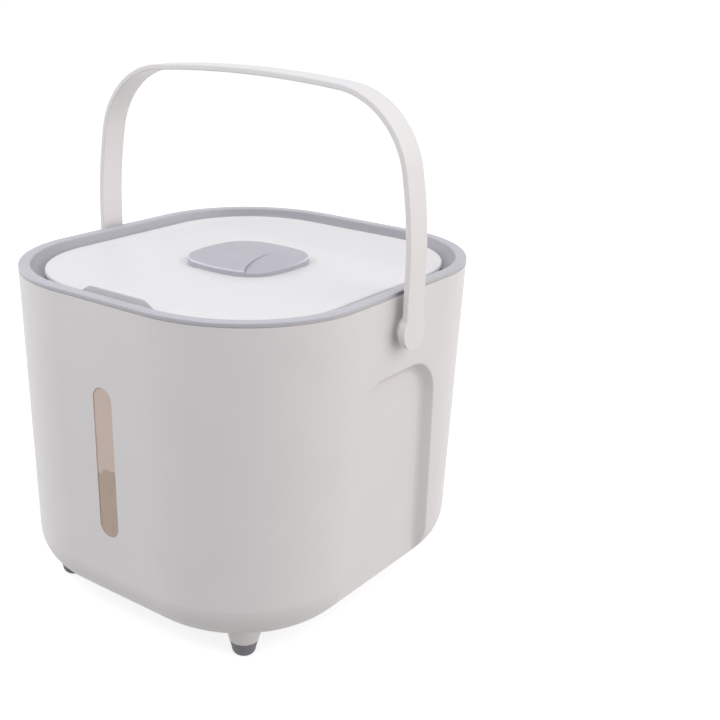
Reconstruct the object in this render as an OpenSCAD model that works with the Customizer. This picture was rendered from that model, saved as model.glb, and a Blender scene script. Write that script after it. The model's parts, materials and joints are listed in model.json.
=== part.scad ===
// A bin for dry pet food: a tapered bucket with a rim collar, a lift-off sealed lid and a swing handle.
// Frame: origin on the floor under the middle of the bin, +Z up, front (sight window, lid tab) towards -Y.
// Heights called "level" are measured up from the floor, and the rim's crest is at level crest.

/* [Body] */
// Width over the two handle sides, at the rim
body_w = 260; // [252:2:280]
// Length from front to back, at the rim
body_l = 287; // [278:1:310]
// Height from the underside to the crest of the rim
body_h = 223; // [205:1:260]
// Plan radius of the four corners, at the rim
corner_r = 90; // [86:1:94]
// How far each wall leans in between the rim and the underside
lean = 5.5; // [4.5:0.5:7]
// Radius of the round between the walls and the underside
base_r = 31.5; // [29:0.5:34]
// Thickness of the moulded wall
wall = 3; // [2.6:0.1:3.2]

/* [Hand recesses] */
// Depth below the side wall
recess_depth = 7.5; // [7:0.5:8]
// Height of the top edge above the underside
recess_top = 166.5; // [150:0.5:168]
// Half width of the outline at its top edge
recess_half = 45.5; // [42:0.5:48]
// Lean of the outline's sides, in degrees from upright
recess_splay = 3.2; // [2.6:0.2:4.4]
// Plan radius of the outline's two top corners
recess_corner = 30; // [24:1:34]

/* [Sight window] */
// Width of the long slot in the front wall
window_w = 16.6; // [14:0.2:20]
// Height of the slot's lower end above the underside
window_low = 59; // [50:1:70]
// Height of the slot's upper end above the underside
window_high = 164.5; // [150:0.5:170]

/* [Lid] */
// Gap in plan between the body's edge and the lid's edge
lid_inset = 17.2; // [16.8:0.1:17.6]
// Half width of the lift tab at its top
tab_half = 23; // [18:1:28]
// Half size of the square knob, at the middle of its sides
knob_half = 38.6; // [36:0.2:41]

/* [Handle] */
// Height of the strap's middle line above the crest, at the top
handle_rise = 125.4; // [122:0.2:130]
// Width of the strap
strap_w = 20; // [17:0.5:22]
// Thickness of the strap
strap_t = 3.9; // [3.4:0.1:4.2]
// Depth of the pivots below the crest
pivot_drop = 26; // [24:1:30]

/* [Feet] */
// Height of the underside above the floor
foot_h = 14; // [12:0.5:16]

/* [Hidden] */
$fn = 96;

white = "#f1efee";
lavender = "#b9b8c6";
amber = "#c9ad92";
foot_grey = "#77777c";
rubber = "#d9d8dc";
steel = "#b5b7ba";

crest = foot_h + body_h;             // level of the rim's crest
core_x = body_w / 2 - corner_r;      // the four corner axes stand at (core_x, core_y)
core_y = body_l / 2 - corner_r;
tilt = atan(lean / body_h);          // how far the walls lean, in degrees
slip = 0.05;                         // gap all round a pushed-in piece
clear = 0.3;                         // gap between pieces that move apart
cross = 0.1;                         // rounds overshoot their lines by this, so that the two cross cleanly
side_face = body_w / 2 - lean * pivot_drop / body_h;  // where the side wall stands at the pivots' level

recess_run = 5;                      // hand recess: its wall slopes this far over its depth
skin_round = 2;                      // radius of its edge at the side wall
floor_round = 6;                     // and of the hollow round its floor
recess_slope = atan(recess_depth / recess_run);
skin_lead = skin_round * tan(recess_slope / 2);
floor_lead = floor_round * tan(recess_slope / 2);
recess_axis_y = recess_top - recess_corner;
recess_axis_x = recess_half + recess_corner * (tan(recess_splay) - 1 / cos(recess_splay));

flange = 3.6;                        // the pane's flange and its seal reach this far past the slot
window_seal_t = 0.9;

lip_t = 2.3;                         // collar: height of the lip on the body's edge
shadow = 0.8;                        // depth and height of the shadow line under that lip
crest_w = 8;                         // width of the crest
cove_r = 9.2;                        // radius of the cove inside the crest
cove_at = 17.2;                      // plan offset of the cove's centre
collar_t = 2.4;                      // collar wall
neck_t = 2.5;                        // and its neck, which the plug goes into
neck_top = 7.3;                      // the neck stands up to this far below the crest
neck_in = 22.5;                      // plan offset of the neck's inner face
neck_drop = 20;                      // neck and plug reach this far below the crest
skirt_drop = 14;                     // the collar's outer skirt, inside the body wall
skirt_lean = lean * skirt_drop / body_h;
skirt_in = wall + slip;              // its outer face, against the body wall
collar_seal_z = -9;                  // middle of the seal in the skirt, from the crest

lid_edge_z = -4.1;                   // lid: heights measured from the crest
lid_dish_z = -4.9;
lid_under_z = -8.4;
border_under_z = -7;
border_r = 20;                       // the border is crowned to this radius,
border_crown = 4;                    // with its top line this far inside the lid's edge
plug_gap = 0.9;                      // plan gap between plug skirt and neck
plug_t = 2.2;
plug_in = neck_in + plug_gap;        // plan offset of the plug's outer face
lid_seal_low = -16.5;
lid_seal_h = 3;
dish_at = [21.2, 21.2];              // two shallow finger dishes, under opposite corners of the knob
dish_r = 100;
dish_depth = 1.8;

tab_y = lid_inset - body_l / 2;      // front face of the lift tab
tab_z = 0.3;                         // its top edge, above the crest
tab_run = 34;                        // it fades into the lid over this length
tab_fall = 12;                       // slope of its back, in degrees
tab_flank = 8 / 4.4;                 // how fast its ends widen downwards
tab_r = 40;                          // radius of its crowned top

knob_top_z = -0.8;
knob_side_r = 90;                    // the knob's bowed sides
knob_corner_r = 26;
knob_bevel = 1.3;
knob_low = -7.2;                     // foot of its side walls, down in the lid's finger dishes
step_drop = 2.1;                     // how far the knob's lower quarter has sunk at the front corner
step_r = 82.3;                       // plan radius of the step line
step_end = 17;                       // the step line ends this far behind the middle
boss_r = 6;                          // the knob's boss goes through the lid, for the screw
screw_r = 2;
knob_far = knob_side_r - knob_half;  // centres of the bowed sides, and axes of the corner rounds
knob_axis = (sqrt(2 * pow(knob_side_r - knob_corner_r, 2) - knob_far * knob_far) - knob_far) / 2;
knob_turn = atan(knob_axis / (knob_far + knob_axis));
knob_meet = knob_axis + knob_corner_r * sin(knob_turn);  // where bowed side and corner round meet

crown_r = 860;                       // handle: middle line of the strap, arcs that run into each other
shoulder_r = 58.9;
arm_r = 305;
crown_turn = 5.2;
shoulder_turn = 73.3;
lug_r = 12.5;
lug_t = 4.8;
lug_skin = 1.5;                      // the lug's bore is blind: this much is left over the pin
stud_r = 5;
bore_gap = 0.1;                      // running clearance of the pivots, on the radius
pivot_z = crest - pivot_drop;
crown_c = [0, crest + handle_rise - crown_r];
shoulder_c = crown_c + (crown_r - shoulder_r) * [sin(crown_turn), cos(crown_turn)];
arm_from = crown_turn + shoulder_turn;
arm_c = shoulder_c - (arm_r - shoulder_r) * [sin(arm_from), cos(arm_from)];
strap_x = arm_c.x + arm_r;           // middle of the strap where it hangs upright
strap_edge = 0.9;                    // radius of the strap's long edges
lug_out = strap_x + strap_t / 2 + 0.02;
lug_in = lug_out - lug_t;

stub_x = 82.3;                       // feet
stub_y = 100.4;
stub_low_r = 9.8;
stub_low = foot_h - 3;
peg_r = 5;
peg_h = 7;

// ---- plan sweep ----

// Carries a profile round the bin's plan: four quarter turns and four straight sides.
// The profile is drawn with x = distance from the corner's axis and y = level.
module round_plan() {
  for (q = [[1, 1, 0], [-1, 1, 90], [-1, -1, 180], [1, -1, 270]])
    translate([q.x * core_x, q.y * core_y, 0]) rotate(q.z) rotate_extrude(angle = 90) children();
  for (turn = [0, 180]) rotate(turn) {
    translate([core_x, core_y, 0]) rotate([90, 0, 0]) linear_extrude(2 * core_y) children();
    translate([-core_x, core_y, 0]) rotate([90, 0, 90]) linear_extrude(2 * core_x) children();
  }
}

// The block between the corner axes, which a swept profile leaves open.
module plan_core(low, high) {
  translate([-core_x, -core_y, low]) cube([2 * core_x, 2 * core_y, high - low]);
}

// Draws a profile given as (offset inward from the body's edge, height above the crest).
module from_edge() {
  translate([corner_r, crest]) mirror([1, 0]) children();
}

// The bin's upright section out to the wall, inset all round: leaning wall, round, flat underside.
module wall_section(inset, low, high) {
  reach = corner_r - inset;
  round_r = base_r - inset;
  centre = reach - lean * (1 - (low + round_r) / body_h) - round_r - 0.08;
  translate([0, foot_h]) intersection() {
    polygon([[0, low], [reach - lean * (1 - low / body_h), low],
             [reach - lean * (1 - high / body_h), high], [0, high]]);
    union() {
      translate([centre, low + round_r]) circle(r = round_r + cross);
      translate([0, low]) square([centre, round_r + 1]);
      translate([0, low + round_r]) square([reach, high]);
    }
  }
}

module wall_form(inset, low, high) {
  round_plan() wall_section(inset, low, high);
  plan_core(foot_h + low, foot_h + high);
}

// ---- frames on the leaning walls ----

// x runs along the wall, y up it from the underside, z straight out of it.
module on_front() {
  translate([0, lean - body_l / 2, foot_h]) rotate([tilt, 0, 0]) rotate([90, 0, 0]) children();
}

module on_side(turn) {
  rotate(turn) translate([body_w / 2 - lean, 0, foot_h]) rotate([0, tilt, 0])
    rotate([90, 0, 90]) children();
}

// A long slot with round ends, drawn flat.
module slot_outline(grow) {
  half = window_w / 2;
  run = window_high - window_low - window_w;
  for (y = [0, run]) translate([0, window_low + half + y]) circle(r = half + grow);
  translate([-half - grow, window_low + half]) square([window_w + 2 * grow, run]);
}

module slot(grow, from, to) {
  translate([0, 0, from]) linear_extrude(to - from) slot_outline(grow);
}

// ---- hand recess ----

// Section of the recess wall: x = distance from the outline's corner axis, y = height above the skin.
// The wall slopes, with a small round at the skin and a soft one at the floor. grow moves every surface
// outward by that much about the same centres, so that a grown copy leaves a wall of even thickness.
// Grown by more than the skin's round, the copy has a plain corner there.
// spare carries the section past skin and floor, where recess_form trims it.
module recess_section(grow, corner, inner, spare) {
  skin_y = -grow;
  floor_y = -recess_depth - grow;
  low = floor_y - spare;
  high = skin_y + spare;
  out = [recess_depth, -recess_run] / norm([recess_depth, recess_run]);
  edge = [corner + skin_lead, -skin_round];
  edge_r = skin_round - grow;
  foot = [corner - recess_run - floor_lead + 0.3, floor_round - recess_depth];
  foot_r = floor_round + grow;
  line = function (y) corner + grow / sin(recess_slope) + y / tan(recess_slope);
  difference() {
    union() {
      polygon([[inner, low], [line(low), low], [line(high), high], [inner, high]]);
      if (edge_r > 0) difference() {
        polygon([[edge.x, high], [line(skin_y) - 1, high], edge - (edge_r + 1) * out,
                 edge - 0.7 * edge_r * out, edge + [0, 0.7 * edge_r]]);
        translate(edge) circle(r = edge_r + 0.05);
      }
    }
    difference() {
      polygon([foot - [0, 0.7 * foot_r], [foot.x, low - 1], [line(low) + 3, low - 1],
               foot + (foot_r + 1) * out, foot + 0.7 * foot_r * out]);
      translate(foot - [0.3, 0]) circle(r = foot_r + 0.05);
    }
  }
}

// The recess as a solid to cut away: an outline with two round top corners, open at the bottom.
// Its pieces overlap and their rounds stand out by a hair, so that all of them cross cleanly,
// and one block trims them to the floor of the recess.
module recess_form(grow) {
  drop = recess_axis_y + 20;
  past = 14;                         // the corner turns run on this many degrees into the straights
  lap = 0.8;                         // and the straights this far into the turns
  core = 2;
  foot_x = recess_axis_x + drop * sin(recess_splay);
  intersection() {
    union() {
      for (side = [0, 1]) mirror([side, 0, 0]) translate([recess_axis_x, recess_axis_y, 0]) {
        rotate(recess_splay - past) rotate_extrude(angle = 90 - recess_splay + 2 * past)
          recess_section(grow, recess_corner + 0.05, 0, 1);
        rotate(recess_splay) translate([0, lap, 0]) rotate([90, 0, 0])
          linear_extrude(drop) recess_section(grow, recess_corner, -8, 1.2);
      }
      translate([-recess_axis_x - lap, recess_axis_y, 0]) rotate([90, 0, 90])
        linear_extrude(2 * (recess_axis_x + lap)) recess_section(grow, recess_corner, -8, 1.4);
      translate([0, recess_axis_y, -recess_depth - grow - 1.6]) linear_extrude(recess_depth + 3)
        polygon([[-recess_axis_x - core, core], [recess_axis_x + core, core],
                 [foot_x + core, -drop], [-foot_x - core, -drop]]);
    }
    translate([-body_l / 2, -30, -recess_depth - grow]) cube([body_l, body_h + 30, recess_depth + 0.9]);
  }
}

// ---- body ----

module bin_body() {
  rim = body_h - lip_t;
  color(white) difference() {
    union() {
      difference() {
        wall_form(0, 0, rim);
        for (turn = [0, 180]) on_side(turn) recess_form(0);
      }
      for (x = [-stub_x, stub_x], y = [-stub_y, stub_y]) translate([x, y, stub_low]) foot_stub();
      for (turn = [0, 180]) rotate(turn) translate([side_face, 0, pivot_z])
        rotate([0, 90, 0]) pivot_stud();
    }
    difference() {
      wall_form(wall, wall, body_h + 1);
      for (turn = [0, 180]) on_side(turn) recess_form(wall);
    }
    round_plan() translate([corner_r - shadow, crest - lip_t - shadow]) square([2, 2]);
    on_front() slot(0, -wall - 2, 2);
    for (x = [-stub_x, stub_x], y = [-stub_y, stub_y]) translate([x, y, stub_low - 1])
      cylinder(r = peg_r + slip, h = peg_h + 1.5);
  }
}

// A moulded conical stub that grows out of the round underside.
module foot_stub() {
  cylinder(r1 = stub_low_r, r2 = stub_low_r + 5, h = 18);
}

// A moulded stud: a shoulder that keeps the lug off the wall, and the pin that the lug turns on.
module pivot_stud() {
  shoulder = lug_in - clear - side_face;
  translate([0, 0, -1]) cylinder(r = stud_r + 3, h = shoulder + 1);
  cylinder(r = stud_r, h = shoulder + lug_t - lug_skin);
}

// ---- sight window ----

// The pane fills the slot, and its flange holds it from inside.
module window_pane() {
  back = -wall - window_seal_t;
  color(amber) on_front() {
    slot(-0.15, back - 1.5, -0.5);
    slot(flange, back - 1.6, back);
  }
}

module window_seal() {
  back = -wall - window_seal_t;
  color(rubber) on_front() difference() {
    slot(flange, back, -wall);
    slot(0.1, back - 1, -wall + 1);
  }
}

// ---- collar ----

// Crest with soft edges and a faint crown, over the body's edge.
module crest_section() {
  edge_r = 0.95;
  inner_r = 1.4;
  intersection() {
    union() {
      translate([0, -lip_t]) square([crest_w - 0.05, lip_t - edge_r]);
      translate([edge_r, -lip_t]) square([crest_w - edge_r - inner_r, lip_t + 1]);
      translate([edge_r + 0.03, -edge_r - 0.05]) circle(r = edge_r + 0.05);
      translate([crest_w - inner_r, -inner_r - 0.05]) circle(r = inner_r);
    }
    translate([crest_w / 2, -40]) circle(r = 40, $fn = 240);
  }
}

module collar_section() {
  gutter_z = -cove_r - cross;
  difference() {
    union() {
      crest_section();
      intersection() {
        translate([cove_at, -cross]) circle(r = cove_r + collar_t + 0.05);
        translate([skirt_in, -neck_drop]) square([cove_at - wall, neck_drop - 1]);
      }
      translate([cove_at - 1, gutter_z - collar_t]) square([neck_in - cove_at + 1, collar_t]);
      translate([neck_in - neck_t, -neck_drop]) square([neck_t, neck_drop - neck_top]);
      polygon([[skirt_in, -1], [skirt_in + skirt_lean, -skirt_drop],
               [skirt_in + skirt_lean + collar_t, -skirt_drop], [skirt_in + collar_t, -1]]);
    }
    intersection() {
      translate([cove_at, -cross]) circle(r = cove_r + 0.05);
      translate([0, -neck_drop]) square([cove_at + 0.2, neck_drop + 2]);
    }
    translate([cove_at + 0.1, gutter_z]) square([neck_in - neck_t - cove_at - 0.1, 20]);
    translate([wall - 1, collar_seal_z - 0.7]) square([2.25, 1.4]);
  }
}

module rim_collar() {
  color(lavender) round_plan() from_edge() collar_section();
}

module collar_seal() {
  color(rubber) round_plan() from_edge()
    translate([wall + 0.25, collar_seal_z - 0.65]) square([0.95, 1.3]);
}

// ---- lid ----

// A flat plate, and round it a low crowned border that overhangs the collar's neck.
module lid_section() {
  edge_r = 1.4;
  plate_in = neck_in + 0.7;
  translate([plate_in, lid_under_z]) square([corner_r - plate_in, lid_dish_z - lid_under_z]);
  intersection() {
    translate([lid_inset + border_crown, lid_edge_z + 0.1 - border_r]) circle(r = border_r, $fn = 180);
    union() {
      translate([lid_inset + edge_r, border_under_z]) square([13, 4]);
      translate([lid_inset, border_under_z]) square([2, -border_under_z + lid_edge_z - edge_r]);
      translate([lid_inset + edge_r - 0.03, lid_edge_z - edge_r + 0.06]) circle(r = edge_r);
    }
  }
}

// The lift tab: a ridge on the lid's front edge whose crowned top falls back into the lid.
// It is where two extrusions meet: its section seen from the side, and its face seen from the front.
module tab_form(inset, run, low) {
  top = tab_z - inset;
  half = tab_half - inset;
  foot_half = half + (top - low) * tab_flank;
  intersection() {
    rotate([90, 0, 90]) translate([0, 0, -body_w / 2]) linear_extrude(body_w)
      translate([tab_y, crest]) tab_section(inset, run, low, top);
    translate([0, tab_y - 1, crest]) rotate([90, 0, 0]) mirror([0, 0, 1]) linear_extrude(run + 2)
      polygon([[foot_half, low], [half, top], [-half, top], [-foot_half, low]]);
  }
}

// The tab seen from the side: upright front, soft brow, crowned back.
module tab_section(inset, run, low, top) {
  brow = 0.9;
  intersection() {
    translate([inset + 1, tab_z - tab_r]) circle(r = tab_r - inset, $fn = 240);
    polygon([[inset, low], [inset, top + 1], [inset + 1, top + 1],
             [run, top + 1.1 - (run - 1) * tan(tab_fall)], [run, low]]);
    union() {
      translate([inset + brow, top - brow - 0.03]) circle(r = brow + 0.03, $fn = 48);
      translate([inset, low]) square([brow + 1, top - brow - low]);
      translate([inset + brow, low]) square([run, top - low + 1]);
    }
  }
}

module lid_top() {
  color(white) difference() {
    union() {
      round_plan() from_edge() lid_section();
      plan_core(crest + lid_under_z, crest + lid_dish_z);
      tab_form(0, tab_run, border_under_z);
    }
    tab_form(2.4, 16, lid_under_z - slip);
    translate([0, 0, -slip]) knob_block(slip);
    for (turn = [0, 180]) rotate(turn)
      translate([dish_at.x, dish_at.y, crest + lid_dish_z + dish_r - dish_depth])
        sphere(r = dish_r, $fn = 360);
    translate([0, 0, crest - 20]) cylinder(r = boss_r + slip, h = 30);
  }
}

module lid_plug() {
  under = -neck_drop;
  top = lid_under_z - slip;
  color(white) difference() {
    union() {
      round_plan() from_edge() difference() {
        translate([plug_in, under]) square([corner_r - plug_in, top - under]);
        translate([plug_in + plug_t, under - 1]) square([corner_r, top - plug_t - under + 1]);
        translate([neck_in, lid_seal_low]) square([plug_gap + 1.2, lid_seal_h]);
      }
      plan_core(crest + top - plug_t, crest + top);
    }
    translate([0, 0, crest - 20]) cylinder(r = screw_r + 0.3, h = 30);
  }
}

module lid_seal() {
  color(rubber) round_plan() from_edge() {
    translate([plug_in, lid_seal_low + slip]) square([1.1, lid_seal_h - 2 * slip]);
    for (z = [0.75, 2.25]) translate([neck_in + clear + 0.62, lid_seal_low + z])
      circle(r = 0.6, $fn = 32);
  }
}

// ---- knob ----

// A disc with a soft top edge.
module soft_disc(radius, facets) {
  rotate_extrude($fn = facets) intersection() {
    translate([0, knob_low]) square([radius, knob_top_z - knob_low]);
    union() {
      translate([0, knob_low]) square([radius, knob_top_z - knob_bevel - knob_low]);
      translate([0, knob_low]) square([radius - knob_bevel, knob_top_z - knob_low]);
      translate([radius - knob_bevel, knob_top_z - knob_bevel]) circle(r = knob_bevel + 0.03, $fn = 48);
    }
  }
}

// The knob's plan: four bowed sides, each the rim of a large disc, and four round corners.
module knob_block(grow) {
  translate([0, 0, crest]) {
    for (x = [-knob_axis, knob_axis], y = [-knob_axis, knob_axis]) translate([x, y, 0])
      soft_disc(knob_corner_r + 0.05 + grow, 96);
    intersection() {
      intersection_for(turn = [0:90:270]) rotate(turn) translate([-knob_far, 0, 0])
        soft_disc(knob_side_r + grow, 480);
      union() {
        translate([-knob_meet, -60, knob_low]) cube([2 * knob_meet, 120, 10]);
        translate([-60, -knob_meet, knob_low]) cube([120, 2 * knob_meet, 10]);
      }
    }
  }
}

module lid_knob() {
  reach = step_end + knob_half;
  color(lavender) difference() {
    union() {
      difference() {
        knob_block(0);
        // the sunk quarter: a plane that falls towards the front, bounded by the step line
        intersection() {
          translate([0, step_end, crest + knob_top_z]) rotate([atan(step_drop / reach), 0, 0])
            translate([-60, -80, 0]) cube([120, 80, 10]);
          translate([7.6 + step_r, step_end - 1, crest - 10]) cylinder(r = step_r, h = 20, $fn = 360);
        }
      }
      translate([0, 0, crest + lid_under_z]) cylinder(r = boss_r, h = 4);
    }
    translate([0, 0, crest - 20]) cylinder(r = screw_r + slip, h = 17);
  }
}

module knob_screw() {
  head_top = crest + lid_under_z - slip - plug_t;
  color(steel) difference() {
    union() {
      translate([0, 0, head_top - 2.4]) cylinder(r = 4.2, h = 2.4);
      translate([0, 0, head_top - 1]) cylinder(r = screw_r, h = 8);
    }
    for (turn = [0, 90]) rotate(turn) translate([-2.4, -0.45, head_top - 3]) cube([4.8, 0.9, 1.8]);
  }
}

// ---- handle ----

// Middle line of the strap as [x, level, lean], from the right pivot over the crown to the left one.
// lean is the turn of the strap's outer face from straight up, 90 where it hangs upright.
function arc_line(centre, radius, from, to, steps) =
  [for (i = [0:steps]) let (a = from + (to - from) * i / steps)
    [centre.x + radius * sin(a), centre.y + radius * cos(a), a]];
function tail(line) = [for (i = [1:len(line) - 1]) line[i]];

right_half = concat([[strap_x, pivot_z - 4, 90]], arc_line(arm_c, arm_r, 90, arm_from, 5),
                    tail(arc_line(shoulder_c, shoulder_r, arm_from, crown_turn, 24)),
                    tail(arc_line(crown_c, crown_r, crown_turn, 0, 7)));
left_half = [for (i = [len(right_half) - 2:-1:0]) let (p = right_half[i]) [-p.x, p.y, -p.z]];
strap_line = concat(right_half, left_half);

// Section of the strap, [outward, across], a flat bar with soft edges.
strap_ring = [for (q = [[1, 1, 0], [-1, 1, 90], [-1, -1, 180], [1, -1, 270]], a = [0:30:90])
  [q.x * (strap_t / 2 - strap_edge) + strap_edge * cos(q.z + a),
   q.y * (strap_w / 2 - strap_edge) + strap_edge * sin(q.z + a)]];

module strap() {
  m = len(strap_ring);
  n = len(strap_line);
  ends = [[for (j = [0:m - 1]) j], [for (j = [m - 1:-1:0]) (n - 1) * m + j]];
  skin = [for (i = [0:n - 2], j = [0:m - 1]) let (k = (j + 1) % m)
    [i * m + k, i * m + j, (i + 1) * m + j, (i + 1) * m + k]];
  polyhedron(
    points = [for (p = strap_line, q = strap_ring) [p.x + q.x * sin(p.z), q.y, p.y + q.x * cos(p.z)]],
    faces = concat(ends, skin), convexity = 6);
}

module carry_handle() {
  color(white) difference() {
    union() {
      strap();
      for (side = [0, 1]) mirror([side, 0, 0]) translate([lug_in, 0, pivot_z]) rotate([0, 90, 0])
        cylinder(r = lug_r, h = lug_t);
    }
    for (side = [0, 1]) mirror([side, 0, 0]) translate([lug_in - 1, 0, pivot_z]) rotate([0, 90, 0])
      cylinder(r = stud_r + bore_gap, h = lug_t - lug_skin + 1);
  }
}

// ---- feet ----

module foot_tip(x, y) {
  round_r = 4.5;
  color(foot_grey) translate([x * stub_x, y * stub_y, 0]) {
    rotate_extrude() {
      polygon([[0, round_r], [8, round_r], [stub_low_r - slip, stub_low - 0.15], [0, stub_low - 0.15]]);
      intersection() {
        translate([3.5, round_r]) circle(r = round_r + slip, $fn = 64);
        square([10, 10]);
      }
      square([3.5, round_r + 1]);
    }
    cylinder(r = peg_r, h = stub_low + peg_h);
  }
}

bin_body();
window_pane();
window_seal();
rim_collar();
collar_seal();
carry_handle();
lid_top();
lid_plug();
lid_seal();
lid_knob();
knob_screw();
foot_tip(-1, -1);  // foot_tip_front_left
foot_tip(1, -1);  // foot_tip_front_right
foot_tip(-1, 1);  // foot_tip_back_left
foot_tip(1, 1);  // foot_tip_back_right
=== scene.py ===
# %% [markdown]
# # Dressing a pet food bin
# The bin is a moulded bucket with rounded corners, a rim collar, a sealed lid with a square pull knob,
# and a strap handle that swings on two pivots. Every piece comes finished from the CAD model and none
# is added here, so this lesson is about what Blender adds to solids: the camera, the light, and
# finishes with the grain, the sheen and the small unevenness of real moulded plastic.

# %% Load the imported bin
import json
import math
import bpy
from mathutils import Matrix, Vector
from mathutils.bvhtree import BVHTree


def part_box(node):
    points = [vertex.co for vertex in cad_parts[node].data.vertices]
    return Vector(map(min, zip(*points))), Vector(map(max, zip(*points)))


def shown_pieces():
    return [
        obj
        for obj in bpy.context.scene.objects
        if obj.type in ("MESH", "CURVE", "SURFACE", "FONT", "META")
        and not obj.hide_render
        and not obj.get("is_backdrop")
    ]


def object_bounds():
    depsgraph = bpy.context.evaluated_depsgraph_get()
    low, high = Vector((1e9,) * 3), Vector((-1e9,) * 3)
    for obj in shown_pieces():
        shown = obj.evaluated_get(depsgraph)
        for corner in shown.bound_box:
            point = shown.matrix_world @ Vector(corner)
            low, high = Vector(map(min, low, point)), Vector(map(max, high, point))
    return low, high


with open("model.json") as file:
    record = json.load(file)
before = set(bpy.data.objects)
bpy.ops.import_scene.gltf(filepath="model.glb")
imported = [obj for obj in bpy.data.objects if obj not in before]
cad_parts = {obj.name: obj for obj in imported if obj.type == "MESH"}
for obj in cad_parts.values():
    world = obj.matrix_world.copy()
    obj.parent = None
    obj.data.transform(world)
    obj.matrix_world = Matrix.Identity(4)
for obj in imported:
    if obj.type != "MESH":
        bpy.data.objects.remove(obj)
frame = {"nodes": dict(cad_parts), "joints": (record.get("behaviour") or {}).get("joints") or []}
nodes = frame["nodes"]
cad_low, cad_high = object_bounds()
scene = bpy.context.scene
print("nodes:", len(nodes), "size in mm:", [round(1000 * side) for side in cad_high - cad_low])

# %% [markdown]
# ## Points in the photograph
# A camera is matched by a few marks that anyone can find in the picture: where the outline ends, and the
# middles of small pieces. At the end, where each finished piece shows is measured for the same marks.
# They are kept in one table, in pixels from the top left corner. The food line's mark is true of this
# bin only: in the photograph the food stands higher, by a tenth of the window's length.

# %% Image points
W, H = 720, 720
L = max(W, H)
POINTS = {
    "outline_left": (18.5, None),
    "outline_right": (467.5, None),
    "outline_top": (None, 62.5),
    "outline_bottom": (None, 656.5),
    "window_top": (100.0, 387.5),
    "window_bottom": (109.0, 537.0),
    "food_line": (105.0, 471.0),
    "tab_middle": (117.0, 293.0),
    "knob_middle": (246.0, 257.0),
    "pivot_lug": (414.0, 331.0),
    "front_foot": (243.0, 650.0),
    "left_foot": (70.0, 568.0),
}
print("image points:", len(POINTS))

# %% [markdown]
# ## The camera
# The photograph was taken from the front right, a little above the rim. Its perspective is strong
# enough to tell the distance: the back of the rim is clearly smaller than the front. A camera could be
# nudged until the picture looks right, but a wrong distance hides behind a wrong lens that way. Here it
# is set by where it stands and what it aims at, with a slight roll, and only then by a small shift,
# because the photographer left room at the side of the picture.

# %% Camera
STAND = Vector((0.49607, -0.59507, 0.43816))
AIM = Vector((0.02365, 0.03133, 0.15539))
ROLL = 1.37
LENS = 56.99
SENSOR = 36.0
SHIFT = Vector((0.0833, 0.0))

camera_data = bpy.data.cameras.new("camera")
camera_data.lens = LENS
camera_data.sensor_width = SENSOR
camera_data.sensor_fit = "AUTO"
camera_data.shift_x = SHIFT.x
camera_data.shift_y = SHIFT.y
camera_data.clip_start = 0.01
camera_data.clip_end = 50.0
camera_data.dof.use_dof = False
camera = bpy.data.objects.new("camera", camera_data)
scene.collection.objects.link(camera)
look = (AIM - STAND).to_track_quat("-Z", "Y").to_matrix()
turn = Matrix.Rotation(math.radians(ROLL), 3, "Z")
camera.matrix_world = Matrix.Translation(STAND) @ (look @ turn).to_4x4()
scene.camera = camera
bpy.context.view_layer.update()
print("camera stands", round((AIM - STAND).length, 3), "m from what it aims at")

# %% [markdown]
# ## Placing by a point
# A thing seen in the photograph is placed by sending a ray from the camera through its point until it
# meets the surface that carries it. Where the ray just misses, the place nearest to the ray is taken.
# The only thing placed so on this bin is the line that the food reaches behind the sight window.

# %% A ray and the surfaces that it can meet
def ray_through(point):
    x, y = point
    along = Vector((x - W / 2 + SHIFT.x * L, H / 2 - y + SHIFT.y * L, -L * LENS / SENSOR))
    return (camera.matrix_world.to_3x3() @ along).normalized()


def surface_of(*pieces):
    depsgraph = bpy.context.evaluated_depsgraph_get()
    corners, faces = [], []
    for piece in pieces:
        finished = piece.evaluated_get(depsgraph)
        mesh = finished.to_mesh()
        first = len(corners)
        corners += [piece.matrix_world @ corner.co for corner in mesh.vertices]
        faces += [[first + index for index in face.vertices] for face in mesh.polygons]
        finished.to_mesh_clear()
    return BVHTree.FromPolygons(corners, faces)


print("the camera's middle ray runs along", [round(part, 2) for part in ray_through((W / 2, H / 2))])

# %% From an image point to a place on the bin
SEARCH_FROM, SEARCH_TO, SEARCH_STEPS = 0.5, 1.3, 160


def place(name, *carriers):
    surface, way = surface_of(*carriers), ray_through(POINTS[name])
    hit, _, _, _ = surface.ray_cast(STAND, way)
    if hit is None:
        stride = (SEARCH_TO - SEARCH_FROM) / SEARCH_STEPS
        stops = [STAND + way * (SEARCH_FROM + stride * step) for step in range(SEARCH_STEPS)]
        hit, _, _, _ = min((surface.find_nearest(stop) for stop in stops), key=lambda found: found[3])
    return hit


food_line = place("food_line", nodes["window_pane"])
print("the food line stands at", round(1000 * food_line.z), "mm")

# %% [markdown]
# ## Node helpers
# Finishes, sky and ground are all made of shader nodes, and a few patterns of nodes come again and
# again: a node with some inputs set, a sum of two values, a mix of two colours or of two shaders, and
# one axis of a place. Each is written once here, so that a finish reads as what it is made of.

# %% Patterns of nodes
def add(tree, kind, **values):
    """A new node with some inputs set. An underscore stands for the space in an input's name."""
    node = tree.nodes.new(kind)
    for name, value in values.items():
        node.inputs[name.replace("_", " ")].default_value = value
    return node


def combine(tree, operation, first, second):
    """Adds, multiplies or compares two values."""
    node = tree.nodes.new("ShaderNodeMath")
    node.operation = operation
    tree.links.new(first, node.inputs[0])
    tree.links.new(second, node.inputs[1])
    return node.outputs[0]


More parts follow.
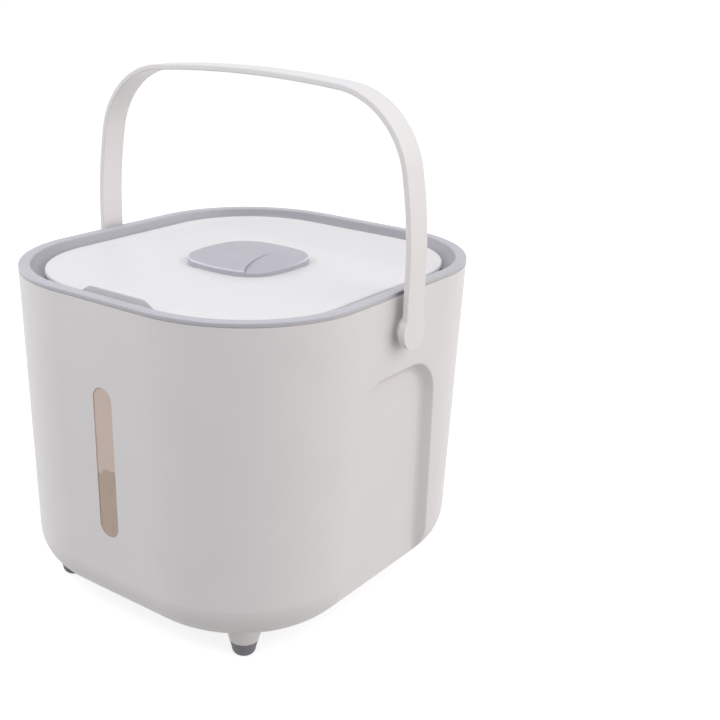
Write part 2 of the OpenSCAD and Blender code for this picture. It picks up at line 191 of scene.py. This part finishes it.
def blend_colours(tree, factor, at_zero, at_one):
    """A colour that runs with a factor. Each end is a plain colour or the output of a node."""
    mix = tree.nodes.new("ShaderNodeMix")
    mix.data_type = "RGBA"
    tree.links.new(factor, mix.inputs["Factor"])
    for end, colour in (("A", at_zero), ("B", at_one)):
        if isinstance(colour, tuple):
            mix.inputs[end].default_value = colour
        else:
            tree.links.new(colour, mix.inputs[end])
    return mix.outputs["Result"]


def blend_shaders(tree, factor, at_zero, at_one):
    mix = tree.nodes.new("ShaderNodeMixShader")
    for index, part in enumerate((factor, at_zero, at_one)):
        tree.links.new(part, mix.inputs[index])
    return mix.outputs[0]


def axis_of(tree, vector, axis):
    split = tree.nodes.new("ShaderNodeSeparateXYZ")
    tree.links.new(vector, split.inputs["Vector"])
    return split.outputs[axis]


print("node patterns:", [part.__name__ for part in (add, combine, blend_colours, blend_shaders, axis_of)])

# %% [markdown]
# ## Sky
# Plain white plastic shows its form only by soft shade, so the light is wide and soft. A sky of one
# colour would leave the walls and the lid the same white. This one is warm near the horizon and cool
# above, which turns the upright walls a little cream and the lid a little blue, as in the photograph.
# To the camera, and to anything that mirrors or passes the view on, the Light Path node shows plain
# white in its place.

# %% What is seen and what only lights
def seen_directly(tree):
    """1 for what the camera sees straight, mirrored or through the pane, 0 for what only lights."""
    path = tree.nodes.new("ShaderNodeLightPath").outputs
    straight_or_mirrored = combine(tree, "MAXIMUM", path["Is Camera Ray"], path["Is Glossy Ray"])
    return combine(tree, "MAXIMUM", straight_or_mirrored, path["Is Transmission Ray"])


SKY_LIGHT = 0.55
HORIZON = (1.0, 0.975, 0.94, 1.0)
ZENITH = (0.92, 0.975, 1.09, 1.0)
WHITE = (1.0, 1.0, 1.0, 1.0)
print("sky strength:", SKY_LIGHT)

# %% Sky
def soft_sky():
    sky = bpy.data.worlds.new("sky")
    sky.use_nodes = True
    tree = sky.node_tree
    tree.nodes.clear()
    direction = tree.nodes.new("ShaderNodeTexCoord").outputs["Generated"]
    lighting = add(tree, "ShaderNodeBackground", Strength=SKY_LIGHT)
    colour = blend_colours(tree, axis_of(tree, direction, "Z"), HORIZON, ZENITH)
    tree.links.new(colour, lighting.inputs["Color"])
    plain = add(tree, "ShaderNodeBackground", Color=WHITE, Strength=1.0)
    both = blend_shaders(tree, seen_directly(tree), lighting.outputs[0], plain.outputs[0])
    tree.links.new(both, tree.nodes.new("ShaderNodeOutputWorld").inputs["Surface"])
    return sky


scene.world = soft_sky()
scene.view_settings.view_transform = "Standard"
print("sky:", scene.world.name)

# %% [markdown]
# ## Light panels
# A panel on the right makes the side face the brighter one. A weaker one on the left lifts the front,
# and a small one above the front lets the lid fade a little towards its back. The side panels could be
# small and strong, but then the lid mirrors them as a white patch when it is seen from low down, so
# they are several times as wide as the bin. A lamp's power says little about how bright a thing will
# look, so each panel is set by the level to which a small lamp of that power would light a white card
# that faces it. The wide side panels reach about seven tenths of their level, as much of their light
# comes in aslant.

# %% Light panels
BIN_MIDDLE = (cad_low + cad_high) / 2


def light_panel(name, stands, size, level, colour):
    """A square lamp. Were it small, a white card at the bin would render at level, where 1 is white."""
    away = BIN_MIDDLE - Vector(stands)
    data = bpy.data.lights.new(name, "AREA")
    data.shape = "SQUARE"
    data.size = size
    data.color = colour
    data.energy = level * (math.pi * away.length) ** 2
    lamp = bpy.data.objects.new(name, data)
    lamp.location = stands
    lamp.rotation_mode = "QUATERNION"
    lamp.rotation_quaternion = away.to_track_quat("-Z", "Y")
    scene.collection.objects.link(lamp)
    return lamp


PANELS = [
    light_panel("right_panel", (1.6, 0.72, 1.0), 2.2, 0.55, (1.0, 0.975, 0.945)),
    light_panel("left_panel", (-1.64, -0.74, 0.85), 2.2, 0.42, (1.0, 0.98, 0.952)),
    light_panel("top_panel", (0.1, -0.8, 1.3), 0.6, 0.215, (0.92, 0.97, 1.08)),
]
print("light panels in watts:", {lamp.name: round(lamp.data.energy, 1) for lamp in PANELS})

# %% [markdown]
# ## Ground
# The bin stands on a white sweep with only a faint soft shadow round its feet. A white floor lit until
# it clips would also throw its light up at the bin and wash out its lower edge. So the ground is a mid
# grey for the light that it gives back, and glows only for the eye, with the shadow kept on top.

# %% Ground
GROUND_HALF = 20.0
GROUND_GAP = 0.0002
GIVES_BACK = (0.44, 0.435, 0.425, 1.0)
TAKES_SHADOW = (0.45, 0.45, 0.45, 1.0)
GLOW = 0.8


def ground_finish():
    finish = bpy.data.materials.new("ground_white")
    finish.use_nodes = True
    tree = finish.node_tree
    tree.nodes.clear()
    dull = add(tree, "ShaderNodeBsdfDiffuse", Color=GIVES_BACK)
    shaded = add(tree, "ShaderNodeBsdfDiffuse", Color=TAKES_SHADOW)
    glow = add(tree, "ShaderNodeEmission", Strength=GLOW)
    white = tree.nodes.new("ShaderNodeAddShader")
    tree.links.new(shaded.outputs[0], white.inputs[0])
    tree.links.new(glow.outputs[0], white.inputs[1])
    both = blend_shaders(tree, seen_directly(tree), dull.outputs[0], white.outputs[0])
    tree.links.new(both, tree.nodes.new("ShaderNodeOutputMaterial").inputs["Surface"])
    return finish


def ground(half):
    mesh = bpy.data.meshes.new("ground")
    mesh.from_pydata([(-half, -half, 0), (half, -half, 0), (half, half, 0), (-half, half, 0)], [],
                     [(0, 1, 2, 3)])
    mesh.materials.append(ground_finish())
    sheet = bpy.data.objects.new("ground", mesh)
    scene.collection.objects.link(sheet)
    sheet.location.z = cad_low.z - GROUND_GAP
    return sheet


floor = ground(GROUND_HALF)
floor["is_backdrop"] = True
print("ground at", round(1000 * floor.location.z, 1), "mm")

# %% [markdown]
# ## Moulded plastic
# The bin's plastic is not one flat white. The mould was spark-eroded, which leaves a fine even grain.
# The tone drifts by about a hundredth over a hand's width, and fingers and the mould's polish make the
# sheen uneven. A painted image could hold all this, but noises at the right scales in millimetres stay
# sharp from near and far and need no unwrapping, so every finish is built from them.

# %% Noise and tone
def noise(tree, place, size_mm, detail=2.0, roughness=0.5):
    """A noise whose spots are about size_mm wide."""
    grain = add(tree, "ShaderNodeTexNoise", Scale=1000.0 / size_mm, Detail=detail, Roughness=roughness)
    tree.links.new(place, grain.inputs["Vector"])
    return grain.outputs["Fac"]


def spread(tree, source, low, high):
    """Carries a noise, which keeps near the middle of 0 to 1, to a range of values."""
    fit = add(tree, "ShaderNodeMapRange", From_Min=0.3, From_Max=0.7, To_Min=low, To_Max=high)
    tree.links.new(source, fit.inputs["Value"])
    return fit.outputs["Result"]


def tone(tree, factor, colour, drift):
    """Two tones of one colour, mixed by a factor."""
    darker = tuple(part * (1 - drift) for part in colour)
    lighter = tuple(min(1.0, part * (1 + drift)) for part in colour)
    return blend_colours(tree, factor, darker + (1.0,), lighter + (1.0,))


def bumps(tree, source, height_um, over=None):
    """Raises a surface by a noise, on top of the slower bumps given as over."""
    bump = add(tree, "ShaderNodeBump", Strength=1.0, Distance=height_um * 1e-6)
    tree.links.new(source, bump.inputs["Height"])
    if over:
        tree.links.new(over, bump.inputs["Normal"])
    return bump.outputs["Normal"]


print("noise patterns:", [part.__name__ for part in (noise, spread, tone, bumps)])

# %% [markdown]
# ## Painted highlight on rounds, painted shade in hollows
# Two places break the even tone with painted light. The small round at the edge of the knob is painted
# lighter, a painted highlight that shows as a fine pale line, and the gutter round the lid is painted a
# shade darker, a painted shade where little light gets in. Both could be painted by hand, but the form
# itself tells where they are: a round is where the surface turns from upright to level, and a hollow is
# where little open sky reaches a spot. The faces' true normals are used, so that the smooth shading of
# the solids doesn't blur either.

# %% Where the rounds and hollows are
UPRIGHT_TO_ROUND = (0.05, 0.4)
LEVEL_TO_ROUND = (0.98, 0.92)
OPEN_SKY_RAYS = 8


def true_normal(tree):
    return tree.nodes.new("ShaderNodeNewGeometry").outputs["True Normal"]


# Mask for a painted highlight: where it is 1 the base colour is lightened, standing in for light caught
# on the rounds.
def round_highlight_mask(tree):
    """1 on the small rounds between an upright side and a level top, 0 on both of them."""
    rise = axis_of(tree, true_normal(tree), "Z")
    limits = []
    for low, high in (UPRIGHT_TO_ROUND, LEVEL_TO_ROUND):
        limit = add(tree, "ShaderNodeMapRange", From_Min=low, From_Max=high)
        tree.links.new(rise, limit.inputs["Value"])
        limits.append(limit.outputs["Result"])
    return combine(tree, "MULTIPLY", *limits)


# Mask for painted shade: where it falls towards 0 the base colour is darkened, standing in for the shade
# in gaps and hollows.
def hollow_shade_mask(tree, reach_mm):
    """1 in the open, falling to 0 deep in a gap or a hollow."""
    open_sky = add(tree, "ShaderNodeAmbientOcclusion", Distance=reach_mm / 1000)
    open_sky.samples = OPEN_SKY_RAYS
    tree.links.new(true_normal(tree), open_sky.inputs["Normal"])
    return open_sky.outputs["AO"]


def times(tree, colour, factor, at_zero, at_one):
    """Multiplies a colour by a plain number that runs with a factor."""
    scale = add(tree, "ShaderNodeMapRange", To_Min=at_zero, To_Max=at_one)
    tree.links.new(factor, scale.inputs["Value"])
    product = tree.nodes.new("ShaderNodeVectorMath")
    product.operation = "SCALE"
    tree.links.new(colour, product.inputs["Vector"])
    tree.links.new(scale.outputs["Result"], product.inputs["Scale"])
    return product.outputs["Vector"]


print("a hollow is judged by", OPEN_SKY_RAYS, "rays")

# %% [markdown]
# ## One helper for every moulded part
# The parts could each have a finish built by hand, but they differ only in numbers. The helper lays
# three scales over each other: slow clouds of tone, patches of sheen as wide as a finger's touch, and
# the mould's grain as a bump. The big walls of the bucket get a fourth, a very low wave of the kind
# that thin walls take on when they cool, which keeps their sheen alive.

# %% The moulded finish
CLOUD_MM = 55.0
TOUCH_MM = 18.0
WAVE_MM = 40.0
GLOSS_DRIFT = 0.035
PLASTIC_IOR = 1.49


def moulded(name, colour, gloss=0.4, drift=0.012, grain_mm=0.7, grain_um=6.0, wave_um=0.0,
            painted_round_highlight=0.0, painted_hollow_shade=0.0, reach_mm=12.0):
    finish = bpy.data.materials.new(name)
    finish.use_nodes = True
    tree = finish.node_tree
    shader = tree.nodes["Principled BSDF"]
    shader.inputs["IOR"].default_value = PLASTIC_IOR
    place = tree.nodes.new("ShaderNodeTexCoord").outputs["Object"]

    base = tone(tree, spread(tree, noise(tree, place, CLOUD_MM, detail=3.0), 0.0, 1.0), colour, drift)
    # Painted highlight: the base colour is made lighter on the small rounds.
    if painted_round_highlight:
        base = times(tree, base, round_highlight_mask(tree), 1.0, 1.0 + painted_round_highlight)
    # Painted shade: the base colour is made darker where little open sky reaches.
    if painted_hollow_shade:
        base = times(tree, base, hollow_shade_mask(tree, reach_mm), 1.0 - painted_hollow_shade, 1.0)
    tree.links.new(base, shader.inputs["Base Color"])

    touched = noise(tree, place, TOUCH_MM, detail=4.0, roughness=0.6)
    rough = spread(tree, touched, gloss - GLOSS_DRIFT, gloss + GLOSS_DRIFT)
    tree.links.new(rough, shader.inputs["Roughness"])

    wave = bumps(tree, noise(tree, place, WAVE_MM, detail=1.0), wave_um) if wave_um else None
    grain = bumps(tree, noise(tree, place, grain_mm), grain_um, over=wave)
    tree.links.new(grain, shader.inputs["Normal"])
    return finish


print("clouds, touches and waves in mm:", CLOUD_MM, TOUCH_MM, WAVE_MM)

# %% [markdown]
# ## The bin's plastics
# The bucket, the lid and the strap are three batches of white: the bucket and the strap a little
# creamy and satin, the lid cooler and smoother. The collar and the knob share one lavender grey, but
# the knob is taken darker, since its flat top faces the brightest light. The foot tips are a soft dark
# grey with a coarser grain, and the seals a plain pale rubber.

# %% The bin's plastics
white_body = moulded("white_body", (0.80, 0.768, 0.755), gloss=0.42, grain_um=7.0, wave_um=25.0)
white_lid = moulded("white_lid", (0.85, 0.828, 0.818), gloss=0.4, drift=0.006, grain_um=1.5)
white_handle = moulded("white_handle", (0.825, 0.795, 0.778), gloss=0.38, grain_um=5.0)
# The collar's gutter and cove get painted shade, darker where little open sky reaches.
lavender_trim = moulded("lavender_trim", (0.525, 0.512, 0.55), gloss=0.34, grain_um=3.0,
                        painted_hollow_shade=0.9, reach_mm=10.0)
# The knob's rounds get a painted highlight, a fine pale line along the bevel.
lavender_knob = moulded("lavender_knob", (0.455, 0.443, 0.487), gloss=0.32, grain_um=4.0, painted_round_highlight=0.5)
grey_foot = moulded("grey_foot", (0.22, 0.22, 0.235), gloss=0.6, drift=0.05, grain_mm=1.1, grain_um=14.0)
seal_rubber = moulded("seal_rubber", (0.62, 0.62, 0.64), gloss=0.55, drift=0.03, grain_um=5.0)
print("moulded finishes:", [m.name for m in bpy.data.materials if m.name != "ground_white"])

# %% [markdown]
# ## The sight window
# The pane is a clear plastic tinted amber and frosted on its inner side, so the food behind it shows
# only as a darker stretch with an uneven upper edge. A heap of food behind clear plastic would look the
# same through the frost, but food is no piece of the bin. So the pane's tone changes at the food line,
# by the height of each spot, pushed up and down by a noise as wide as a piece of kibble.

# %% The level of the food
PANE_ABOVE = (0.735, 0.575, 0.485)
PANE_BELOW = (0.53, 0.385, 0.285)
KIBBLE_MM = 9.0
KIBBLE_RISE = 0.0035
EDGE_HALF = 0.001


def pane_tone(tree, place):
    push = spread(tree, noise(tree, place, KIBBLE_MM, detail=1.0), -KIBBLE_RISE, KIBBLE_RISE)
    level = combine(tree, "ADD", axis_of(tree, place, "Z"), push)
    edge = add(tree, "ShaderNodeMapRange", From_Min=food_line.z - EDGE_HALF,
               From_Max=food_line.z + EDGE_HALF)
    tree.links.new(level, edge.inputs["Value"])
    mottle = spread(tree, noise(tree, place, KIBBLE_MM, detail=3.0), 0.0, 1.0)
    food = tone(tree, mottle, PANE_BELOW, 0.05)
    empty = tone(tree, mottle, PANE_ABOVE, 0.02)
    return blend_colours(tree, edge.outputs["Result"], food, empty)


print("pane tones meet at", round(1000 * food_line.z), "mm")

# %% Amber pane
FROST_MM, FROST_UM = 0.5, 4.0


def amber_pane():
    finish = bpy.data.materials.new("amber_window")
    finish.use_nodes = True
    tree = finish.node_tree
    shader = tree.nodes["Principled BSDF"]
    place = tree.nodes.new("ShaderNodeTexCoord").outputs["Object"]
    tree.links.new(pane_tone(tree, place), shader.inputs["Base Color"])
    tree.links.new(bumps(tree, noise(tree, place, FROST_MM), FROST_UM), shader.inputs["Normal"])
    shader.inputs["Roughness"].default_value = 0.3
    shader.inputs["IOR"].default_value = 1.5
    shader.inputs["Transmission Weight"].default_value = 0.12
    shader.inputs["Coat Weight"].default_value = 0.4
    shader.inputs["Coat Roughness"].default_value = 0.1
    return finish


amber_window = amber_pane()
print("pane finish:", amber_window.name)

# %% [markdown]
# ## The screw
# Under the lid a plain zinc-plated screw holds the knob. Plating is a metal with fine turning marks, so
# its finish is a metal shader whose roughness follows rings round the screw's own axis.

# %% Plated steel
STEEL = (0.62, 0.62, 0.64)
RINGS_PER_METRE = 900.0


def plated_steel():
    finish = bpy.data.materials.new("steel_screw")
    finish.use_nodes = True
    tree = finish.node_tree
    shader = tree.nodes["Principled BSDF"]
    shader.inputs["Metallic"].default_value = 1.0
    place = tree.nodes.new("ShaderNodeTexCoord").outputs["Object"]
    rings = add(tree, "ShaderNodeTexWave", Scale=RINGS_PER_METRE, Distortion=0.6)
    rings.wave_type = "RINGS"
    rings.rings_direction = "Z"
    tree.links.new(place, rings.inputs["Vector"])
    tree.links.new(spread(tree, rings.outputs["Fac"], 0.24, 0.34), shader.inputs["Roughness"])
    cloudy = spread(tree, noise(tree, place, 3.0), 0.0, 1.0)
    tree.links.new(tone(tree, cloudy, STEEL, 0.05), shader.inputs["Base Color"])
    return finish


steel_screw = plated_steel()
print("screw finish:", steel_screw.name)

# %% [markdown]
# ## Giving the pieces their finishes
# Every CAD node takes one finish in its material slot, as one moulding comes out of one mould in one
# plastic. The mesh itself isn't touched. What the table doesn't name is a foot tip.

# %% Dress the nodes
FINISHES = {
    "bin_body": white_body,
    "window_pane": amber_window,
    "window_seal": seal_rubber,
    "rim_collar": lavender_trim,
    "collar_seal": seal_rubber,
    "carry_handle": white_handle,
    "lid_top": white_lid,
    "lid_plug": white_lid,
    "lid_seal": seal_rubber,
    "lid_knob": lavender_knob,
    "knob_screw": steel_screw,
}
for name, node in nodes.items():
    node.data.materials.clear()
    node.data.materials.append(FINISHES.get(name, grey_foot))
print("dressed:", len(nodes), "nodes")

# %% [markdown]
# ## Where things show, for their points
# The last look is a measure: for each named point, where the finished piece shows in the camera's frame
# is found. A corner of the mesh counts only if nothing stands between it and the camera, because a box
# round the whole piece would count what the collar, the lid or the strap hides. The food line is a change
# of tone without corners. Its own entry sends the place that the ray found back through the camera, so it
# lands on its point whenever the two sums agree, and says nothing about where the photograph has it.

# %% What shows of a piece
everything = surface_of(*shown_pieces())
TOUCHING = 0.0006


def pixel(spot):
    local = camera.matrix_world.inverted() @ spot
    reach = L * LENS / SENSOR / -local.z
    return Vector((W / 2 - SHIFT.x * L + local.x * reach, H / 2 + SHIFT.y * L - local.y * reach))


def shown(piece, keep=lambda spot: True):
    """Pixels of the piece's corners that nothing hides."""
    finished = piece.evaluated_get(bpy.context.evaluated_depsgraph_get())
    found = []
    for corner in finished.to_mesh().vertices:
        if keep(corner.co):
            way = corner.co - STAND
            hit, _, _, distance = everything.ray_cast(STAND, way.normalized())
            if hit is None or distance > way.length - TOUCHING:
                found.append(pixel(corner.co))
    finished.to_mesh_clear()
    return found


outline = [spot for name in ("bin_body", "rim_collar", "carry_handle", "foot_tip_front_right")
           for spot in shown(nodes[name])]
print("corners that show in the outline's pieces:", len(outline))

# %% Middles and ends of what shows
END_DEPTH = 2.0


def middle(pixels):
    xs, ys = [p.x for p in pixels], [p.y for p in pixels]
    return (min(xs) + max(xs)) / 2, (min(ys) + max(ys)) / 2


def upper_end(pixels):
    """The top of a round end, in the middle of what lies within a few pixels of it."""
    top = min(p.y for p in pixels)
    return middle([p for p in pixels if p.y < top + END_DEPTH])[0], top


def lower_end(pixels):
    foot = max(p.y for p in pixels)
    return middle([p for p in pixels if p.y > foot - END_DEPTH])[0], foot


pane = shown(nodes["window_pane"])
print("the pane's ends:", [round(part, 1) for part in upper_end(pane) + lower_end(pane)])

# %% The tab's face and the lug
FACE_DEPTH = 0.00013
LUG_THICK = 0.0044
lid_low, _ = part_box("lid_top")
handle_low, handle_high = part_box("carry_handle")
swing = next(joint for joint in frame["joints"] if joint["name"] == "handle_swing")
lug_top = 2 * swing["pos_m"][2] - handle_low.z

tab_face = shown(nodes["lid_top"], lambda spot: spot.y < lid_low.y + FACE_DEPTH)
lug = shown(nodes["carry_handle"],
            lambda spot: spot.x > handle_high.x - LUG_THICK and spot.z < lug_top + FACE_DEPTH)
print("corners that show:", len(tab_face), "on the tab,", len(lug), "on the lug")

# %% Measure where the pieces of the image points show
measured = {
    "outline_left": (min(p.x for p in outline), None),
    "outline_right": (max(p.x for p in outline), None),
    "outline_top": (None, min(p.y for p in outline)),
    "outline_bottom": (None, max(p.y for p in outline)),
    "window_top": upper_end(pane),
    "window_bottom": lower_end(pane),
    "food_line": tuple(pixel(food_line)),
    "tab_middle": middle(tab_face),
    "knob_middle": middle(shown(nodes["lid_knob"])),
    "pivot_lug": middle(lug),
    "front_foot": middle(shown(nodes["foot_tip_front_right"])),
    "left_foot": middle(shown(nodes["foot_tip_front_left"])),
}
